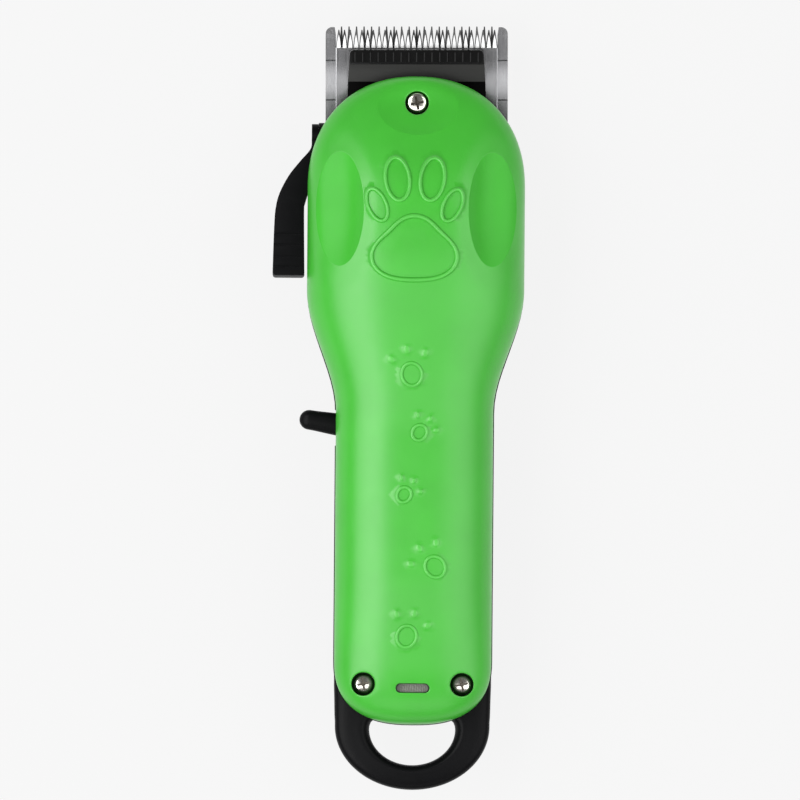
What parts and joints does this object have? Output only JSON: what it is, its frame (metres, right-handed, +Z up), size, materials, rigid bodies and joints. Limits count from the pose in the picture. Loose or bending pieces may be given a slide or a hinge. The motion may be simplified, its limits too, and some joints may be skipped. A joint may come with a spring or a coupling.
{
  "type": "electric pet clipper",
  "caption": "Cordless hand clipper for pets: green cover over a black case with a hanging loop, steel blade set, taper lever and power toggle.",
  "frame": {"origin": "middle of the flat belly that the clipper rests on, on its long axis", "axes": "+Y along the body to the blade tips, +Z up out of the green cover, -X to the side of the taper lever and power toggle"},
  "size_m": [0.0628, 0.1884, 0.0369],
  "materials": {
    "green_shell": "satin moulded plastic",
    "black_shell": "satin moulded plastic",
    "lever_black": "satin moulded plastic",
    "block_black": "satin moulded plastic",
    "black_trim": "matt",
    "blade_steel": "brushed and ground",
    "screw_chrome": "bright plated",
    "light_window": "frosted clear",
    "frame_plastic": "matt",
    "motor_steel": "plated",
    "tab_nickel": "plated",
    "cell_sleeve": "shrink sleeve over a metal can",
    "foam_pad": "foam",
    "board_green": "lacquered board",
    "wire_red": "insulated wire",
    "wire_black": "insulated wire",
    "winding_copper": "copper winding on an iron core",
    "hub_brass": "turned",
    "arm_nylon": "natural nylon"
  },
  "bodies": {
    "housing": {"top_cover": "green_shell", "bottom_case": "black_shell", "cover_screw_front": "screw_chrome", "cover_screw_rear_left": "screw_chrome", "cover_screw_rear_right": "screw_chrome", "led_window": "light_window", "inner_frame": "frame_plastic", "motor_can": "motor_steel", "motor_end_cap": "frame_plastic", "motor_screw_lower": "screw_chrome", "motor_screw_upper": "screw_chrome", "arm_pivot_pin": "blade_steel", "pivot_clip": "screw_chrome", "battery_cell": "cell_sleeve", "battery_tab_front": "tab_nickel", "battery_tab_rear": "tab_nickel", "battery_foam": "foam_pad", "circuit_board": "board_green", "board_screw_front": "screw_chrome", "board_screw_rear": "screw_chrome", "frame_screw_left": "screw_chrome", "frame_screw_right": "screw_chrome", "charge_chip": "black_trim", "filter_capacitor": "cell_sleeve", "status_led": "light_window", "charge_socket": "black_trim", "slide_switch_body": "tab_nickel", "toggle_pin": "blade_steel", "motor_lead_red": "wire_red", "motor_lead_black": "wire_black", "inlet_lead_red": "wire_red", "inlet_lead_black": "wire_black"},
    "rotor": {"motor_shaft": "blade_steel", "armature": "winding_copper", "eccentric_hub": "hub_brass", "drive_roller": "arm_nylon"},
    "drive_arm": {"drive_arm": "arm_nylon"},
    "cutter": {"cutter_blade": "blade_steel", "cutter_block": "block_black"},
    "blade_carriage": {"fixed_blade": "blade_steel", "blade_bracket": "frame_plastic", "blade_screw_left": "screw_chrome", "blade_screw_right": "screw_chrome", "tension_spring": "screw_chrome"},
    "taper_lever": {"taper_lever": "lever_black", "lever_cam": "frame_plastic", "lever_screw": "screw_chrome"},
    "power_toggle": {"power_toggle": "lever_black"},
    "switch_slider": {"switch_slider": "arm_nylon"}
  },
  "joints": [
    {"name": "rotor_spin", "type": "hinge", "parent": "housing", "child": "rotor", "pos_m": [0, 0.008, 0.0162], "axis": [0, 1, 0], "continuous": true},
    {"name": "cutter_slide", "type": "slide", "parent": "housing", "child": "cutter", "axis": [1, 0, 0], "range_m": [-0.0012, 0.0012]},
    {"name": "arm_swing", "type": "hinge", "parent": "housing", "child": "drive_arm", "pos_m": [0, 0.056, 0.0162], "axis": [0, 0, 1], "range_deg": [-3.3, 3.3]},
    {"name": "lever_turn", "type": "hinge", "parent": "housing", "child": "taper_lever", "pos_m": [-0.0242, 0.0673, 0.0143], "axis": [1, 0, 0], "range_deg": [0, 30]},
    {"name": "blade_taper", "type": "slide", "parent": "housing", "child": "blade_carriage", "axis": [0, 0.9945, 0.1045], "range_m": [0, 0.00156]},
    {"name": "toggle_turn", "type": "hinge", "parent": "housing", "child": "power_toggle", "pos_m": [-0.015, -0.0048, 0.0162], "axis": [0, 0, 1], "range_deg": [0, 18]},
    {"name": "slider_slide", "type": "slide", "parent": "housing", "child": "switch_slider", "axis": [0, 1, 0], "range_m": [0, 0.00209]}
  ],
  "couplings": [
    {"joint": "arm_swing", "follows": "cutter_slide", "rad_per_m": -47.619},
    {"joint": "lever_turn", "follows": "blade_taper", "rad_per_m": 335.3},
    {"joint": "toggle_turn", "follows": "slider_slide", "rad_per_m": 150.2}
  ]
}
